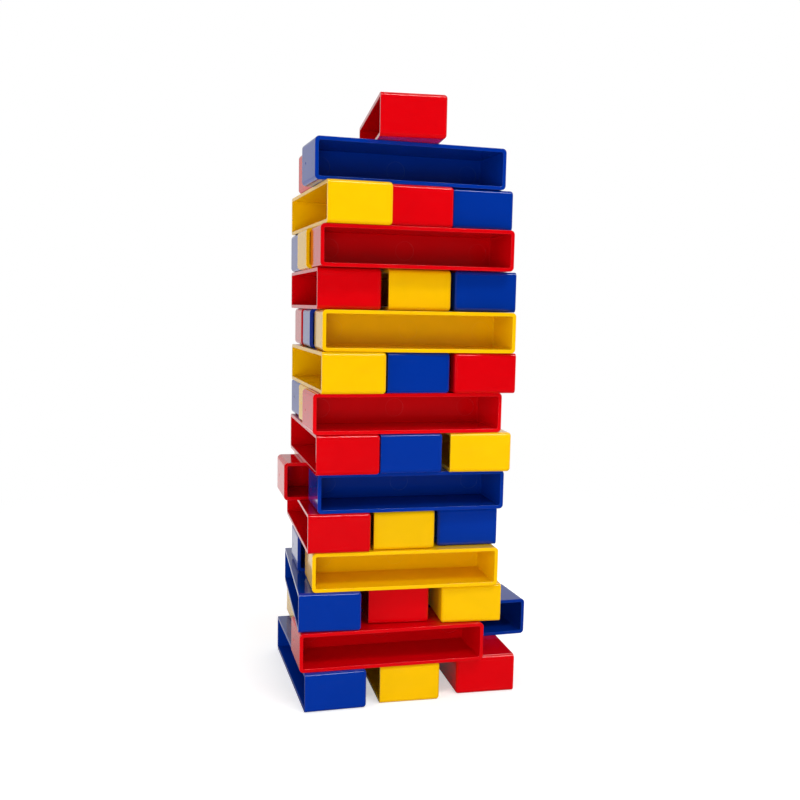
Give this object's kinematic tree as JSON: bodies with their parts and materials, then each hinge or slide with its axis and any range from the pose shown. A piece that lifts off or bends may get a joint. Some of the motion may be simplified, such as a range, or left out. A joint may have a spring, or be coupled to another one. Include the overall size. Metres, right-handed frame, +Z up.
{
  "type": "giant tumbling tower",
  "caption": "Giant lawn tumbling tower: hollow glossy plastic blocks in crossed levels; each block slides out along its level and the top one lifts off.",
  "frame": {"origin": "on the floor under the tower's centre line, on the underside of the middle block of the lowest level", "axes": "+Z up the tower; -Y is the front, along which odd levels run; +X is the right, along which even levels run"},
  "size_m": [0.2586, 0.2322, 0.5714],
  "materials": {
    "red_plastic": "glossy injection-moulded",
    "yellow_plastic": "glossy injection-moulded",
    "blue_plastic": "glossy injection-moulded"
  },
  "bodies": {
    "level_01_left_blue_block": {"level_01_left_blue_block": "blue_plastic"},
    "level_01_middle_yellow_block": {"level_01_middle_yellow_block": "yellow_plastic"},
    "level_01_right_red_block": {"level_01_right_red_block": "red_plastic"},
    "level_02_front_red_block": {"level_02_front_red_block": "red_plastic"},
    "level_02_middle_blue_block": {"level_02_middle_blue_block": "blue_plastic"},
    "level_02_rear_yellow_block": {"level_02_rear_yellow_block": "yellow_plastic"},
    "level_03_left_blue_block": {"level_03_left_blue_block": "blue_plastic"},
    "level_03_middle_red_block": {"level_03_middle_red_block": "red_plastic"},
    "level_03_right_yellow_block": {"level_03_right_yellow_block": "yellow_plastic"},
    "level_04_front_yellow_block": {"level_04_front_yellow_block": "yellow_plastic"},
    "level_04_middle_blue_block": {"level_04_middle_blue_block": "blue_plastic"},
    "level_04_rear_red_block": {"level_04_rear_red_block": "red_plastic"},
    "level_05_left_red_block": {"level_05_left_red_block": "red_plastic"},
    "level_05_middle_yellow_block": {"level_05_middle_yellow_block": "yellow_plastic"},
    "level_05_right_blue_block": {"level_05_right_blue_block": "blue_plastic"},
    "level_06_front_blue_block": {"level_06_front_blue_block": "blue_plastic"},
    "level_06_middle_red_block": {"level_06_middle_red_block": "red_plastic"},
    "level_06_rear_yellow_block": {"level_06_rear_yellow_block": "yellow_plastic"},
    "level_07_left_red_block": {"level_07_left_red_block": "red_plastic"},
    "level_07_middle_blue_block": {"level_07_middle_blue_block": "blue_plastic"},
    "level_07_right_yellow_block": {"level_07_right_yellow_block": "yellow_plastic"},
    "level_08_front_red_block": {"level_08_front_red_block": "red_plastic"},
    "level_08_middle_yellow_block": {"level_08_middle_yellow_block": "yellow_plastic"},
    "level_08_rear_blue_block": {"level_08_rear_blue_block": "blue_plastic"},
    "level_09_left_yellow_block": {"level_09_left_yellow_block": "yellow_plastic"},
    "level_09_middle_blue_block": {"level_09_middle_blue_block": "blue_plastic"},
    "level_09_right_red_block": {"level_09_right_red_block": "red_plastic"},
    "level_10_front_yellow_block": {"level_10_front_yellow_block": "yellow_plastic"},
    "level_10_middle_blue_block": {"level_10_middle_blue_block": "blue_plastic"},
    "level_10_rear_red_block": {"level_10_rear_red_block": "red_plastic"},
    "level_11_left_red_block": {"level_11_left_red_block": "red_plastic"},
    "level_11_middle_yellow_block": {"level_11_middle_yellow_block": "yellow_plastic"},
    "level_11_right_blue_block": {"level_11_right_blue_block": "blue_plastic"},
    "level_12_front_red_block": {"level_12_front_red_block": "red_plastic"},
    "level_12_middle_yellow_block": {"level_12_middle_yellow_block": "yellow_plastic"},
    "level_12_rear_blue_block": {"level_12_rear_blue_block": "blue_plastic"},
    "level_13_left_yellow_block": {"level_13_left_yellow_block": "yellow_plastic"},
    "level_13_middle_red_block": {"level_13_middle_red_block": "red_plastic"},
    "level_13_right_blue_block": {"level_13_right_blue_block": "blue_plastic"},
    "level_14_front_blue_block": {"level_14_front_blue_block": "blue_plastic"},
    "level_14_middle_red_block": {"level_14_middle_red_block": "red_plastic"},
    "level_15_middle_red_block": {"level_15_middle_red_block": "red_plastic"}
  },
  "joints": [
    {"name": "level_01_left_blue_slide", "type": "slide", "parent": "level_01_middle_yellow_block", "child": "level_01_left_blue_block", "axis": [0.0175, 0.9998, 0], "range_m": [-0.183, 0.183]},
    {"name": "level_01_right_red_slide", "type": "slide", "parent": "level_01_middle_yellow_block", "child": "level_01_right_red_block", "axis": [0.0175, 0.9998, 0], "range_m": [-0.183, 0.183]},
    {"name": "level_02_front_red_slide", "type": "slide", "parent": "level_01_middle_yellow_block", "child": "level_02_front_red_block", "axis": [1, 0.0087, 0], "range_m": [-0.183, 0.183]},
    {"name": "level_02_middle_blue_slide", "type": "slide", "parent": "level_01_middle_yellow_block", "child": "level_02_middle_blue_block", "axis": [1, 0.0087, 0], "range_m": [-0.183, 0.183]},
    {"name": "level_02_rear_yellow_slide", "type": "slide", "parent": "level_01_middle_yellow_block", "child": "level_02_rear_yellow_block", "axis": [1, 0.0087, 0], "range_m": [-0.183, 0.183]},
    {"name": "level_03_left_blue_slide", "type": "slide", "parent": "level_01_middle_yellow_block", "child": "level_03_left_blue_block", "axis": [0.0523, 0.9986, 0], "range_m": [-0.183, 0.183]},
    {"name": "level_03_middle_red_slide", "type": "slide", "parent": "level_01_middle_yellow_block", "child": "level_03_middle_red_block", "axis": [0.0523, 0.9986, 0], "range_m": [-0.183, 0.183]},
    {"name": "level_03_right_yellow_slide", "type": "slide", "parent": "level_01_middle_yellow_block", "child": "level_03_right_yellow_block", "axis": [0.0523, 0.9986, 0], "range_m": [-0.183, 0.183]},
    {"name": "level_04_front_yellow_slide", "type": "slide", "parent": "level_01_middle_yellow_block", "child": "level_04_front_yellow_block", "axis": [0.9997, -0.0262, 0], "range_m": [-0.183, 0.183]},
    {"name": "level_04_middle_blue_slide", "type": "slide", "parent": "level_01_middle_yellow_block", "child": "level_04_middle_blue_block", "axis": [0.9997, -0.0262, 0], "range_m": [-0.183, 0.183]},
    {"name": "level_04_rear_red_slide", "type": "slide", "parent": "level_01_middle_yellow_block", "child": "level_04_rear_red_block", "axis": [0.9997, -0.0262, 0], "range_m": [-0.183, 0.183]},
    {"name": "level_05_left_red_slide", "type": "slide", "parent": "level_01_middle_yellow_block", "child": "level_05_left_red_block", "axis": [0.0175, 0.9998, 0], "range_m": [-0.183, 0.183]},
    {"name": "level_05_middle_yellow_slide", "type": "slide", "parent": "level_01_middle_yellow_block", "child": "level_05_middle_yellow_block", "axis": [0.0175, 0.9998, 0], "range_m": [-0.183, 0.183]},
    {"name": "level_05_right_blue_slide", "type": "slide", "parent": "level_01_middle_yellow_block", "child": "level_05_right_blue_block", "axis": [0.0175, 0.9998, 0], "range_m": [-0.183, 0.183]},
    {"name": "level_06_front_blue_slide", "type": "slide", "parent": "level_01_middle_yellow_block", "child": "level_06_front_blue_block", "axis": [1, 0, 0], "range_m": [-0.183, 0.183]},
    {"name": "level_06_middle_red_slide", "type": "slide", "parent": "level_01_middle_yellow_block", "child": "level_06_middle_red_block", "axis": [1, 0, 0], "range_m": [-0.183, 0.183]},
    {"name": "level_06_rear_yellow_slide", "type": "slide", "parent": "level_01_middle_yellow_block", "child": "level_06_rear_yellow_block", "axis": [1, 0, 0], "range_m": [-0.183, 0.183]},
    {"name": "level_07_left_red_slide", "type": "slide", "parent": "level_01_middle_yellow_block", "child": "level_07_left_red_block", "axis": [0, 1, 0], "range_m": [-0.183, 0.183]},
    {"name": "level_07_middle_blue_slide", "type": "slide", "parent": "level_01_middle_yellow_block", "child": "level_07_middle_blue_block", "axis": [0, 1, 0], "range_m": [-0.183, 0.183]},
    {"name": "level_07_right_yellow_slide", "type": "slide", "parent": "level_01_middle_yellow_block", "child": "level_07_right_yellow_block", "axis": [0, 1, 0], "range_m": [-0.183, 0.183]},
    {"name": "level_08_front_red_slide", "type": "slide", "parent": "level_01_middle_yellow_block", "child": "level_08_front_red_block", "axis": [0.9997, 0.0262, 0], "range_m": [-0.183, 0.183]},
    {"name": "level_08_middle_yellow_slide", "type": "slide", "parent": "level_01_middle_yellow_block", "child": "level_08_middle_yellow_block", "axis": [0.9997, 0.0262, 0], "range_m": [-0.183, 0.183]},
    {"name": "level_08_rear_blue_slide", "type": "slide", "parent": "level_01_middle_yellow_block", "child": "level_08_rear_blue_block", "axis": [0.9997, 0.0262, 0], "range_m": [-0.183, 0.183]},
    {"name": "level_09_left_yellow_slide", "type": "slide", "parent": "level_01_middle_yellow_block", "child": "level_09_left_yellow_block", "axis": [-0.0175, 0.9998, 0], "range_m": [-0.183, 0.183]},
    {"name": "level_09_middle_blue_slide", "type": "slide", "parent": "level_01_middle_yellow_block", "child": "level_09_middle_blue_block", "axis": [-0.0175, 0.9998, 0], "range_m": [-0.183, 0.183]},
    {"name": "level_09_right_red_slide", "type": "slide", "parent": "level_01_middle_yellow_block", "child": "level_09_right_red_block", "axis": [-0.0175, 0.9998, 0], "range_m": [-0.183, 0.183]},
    {"name": "level_10_front_yellow_slide", "type": "slide", "parent": "level_01_middle_yellow_block", "child": "level_10_front_yellow_block", "axis": [0.9997, -0.0262, 0], "range_m": [-0.183, 0.183]},
    {"name": "level_10_middle_blue_slide", "type": "slide", "parent": "level_01_middle_yellow_block", "child": "level_10_middle_blue_block", "axis": [0.9997, -0.0262, 0], "range_m": [-0.183, 0.183]},
    {"name": "level_10_rear_red_slide", "type": "slide", "parent": "level_01_middle_yellow_block", "child": "level_10_rear_red_block", "axis": [0.9997, -0.0262, 0], "range_m": [-0.183, 0.183]},
    {"name": "level_11_left_red_slide", "type": "slide", "parent": "level_01_middle_yellow_block", "child": "level_11_left_red_block", "axis": [0, 1, 0], "range_m": [-0.183, 0.183]},
    {"name": "level_11_middle_yellow_slide", "type": "slide", "parent": "level_01_middle_yellow_block", "child": "level_11_middle_yellow_block", "axis": [0, 1, 0], "range_m": [-0.183, 0.183]},
    {"name": "level_11_right_blue_slide", "type": "slide", "parent": "level_01_middle_yellow_block", "child": "level_11_right_blue_block", "axis": [0, 1, 0], "range_m": [-0.183, 0.183]},
    {"name": "level_12_front_red_slide", "type": "slide", "parent": "level_01_middle_yellow_block", "child": "level_12_front_red_block", "axis": [1, 0.0087, 0], "range_m": [-0.183, 0.183]},
    {"name": "level_12_middle_yellow_slide", "type": "slide", "parent": "level_01_middle_yellow_block", "child": "level_12_middle_yellow_block", "axis": [1, 0.0087, 0], "range_m": [-0.183, 0.183]},
    {"name": "level_12_rear_blue_slide", "type": "slide", "parent": "level_01_middle_yellow_block", "child": "level_12_rear_blue_block", "axis": [1, 0.0087, 0], "range_m": [-0.183, 0.183]},
    {"name": "level_13_left_yellow_slide", "type": "slide", "parent": "level_01_middle_yellow_block", "child": "level_13_left_yellow_block", "axis": [-0.0436, 0.999, 0], "range_m": [-0.183, 0.183]},
    {"name": "level_13_middle_red_slide", "type": "slide", "parent": "level_01_middle_yellow_block", "child": "level_13_middle_red_block", "axis": [-0.0436, 0.999, 0], "range_m": [-0.183, 0.183]},
    {"name": "level_13_right_blue_slide", "type": "slide", "parent": "level_01_middle_yellow_block", "child": "level_13_right_blue_block", "axis": [-0.0436, 0.999, 0], "range_m": [-0.183, 0.183]},
    {"name": "level_14_front_blue_slide", "type": "slide", "parent": "level_01_middle_yellow_block", "child": "level_14_front_blue_block", "axis": [0.9981, 0.061, 0], "range_m": [-0.183, 0.183]},
    {"name": "level_14_middle_red_slide", "type": "slide", "parent": "level_01_middle_yellow_block", "child": "level_14_middle_red_block", "axis": [0.9981, 0.061, 0], "range_m": [-0.183, 0.183]},
    {"name": "level_15_middle_red_lift", "type": "slide", "parent": "level_01_middle_yellow_block", "child": "level_15_middle_red_block", "axis": [0, 0, 1], "range_m": [0, 0.15]}
  ]
}
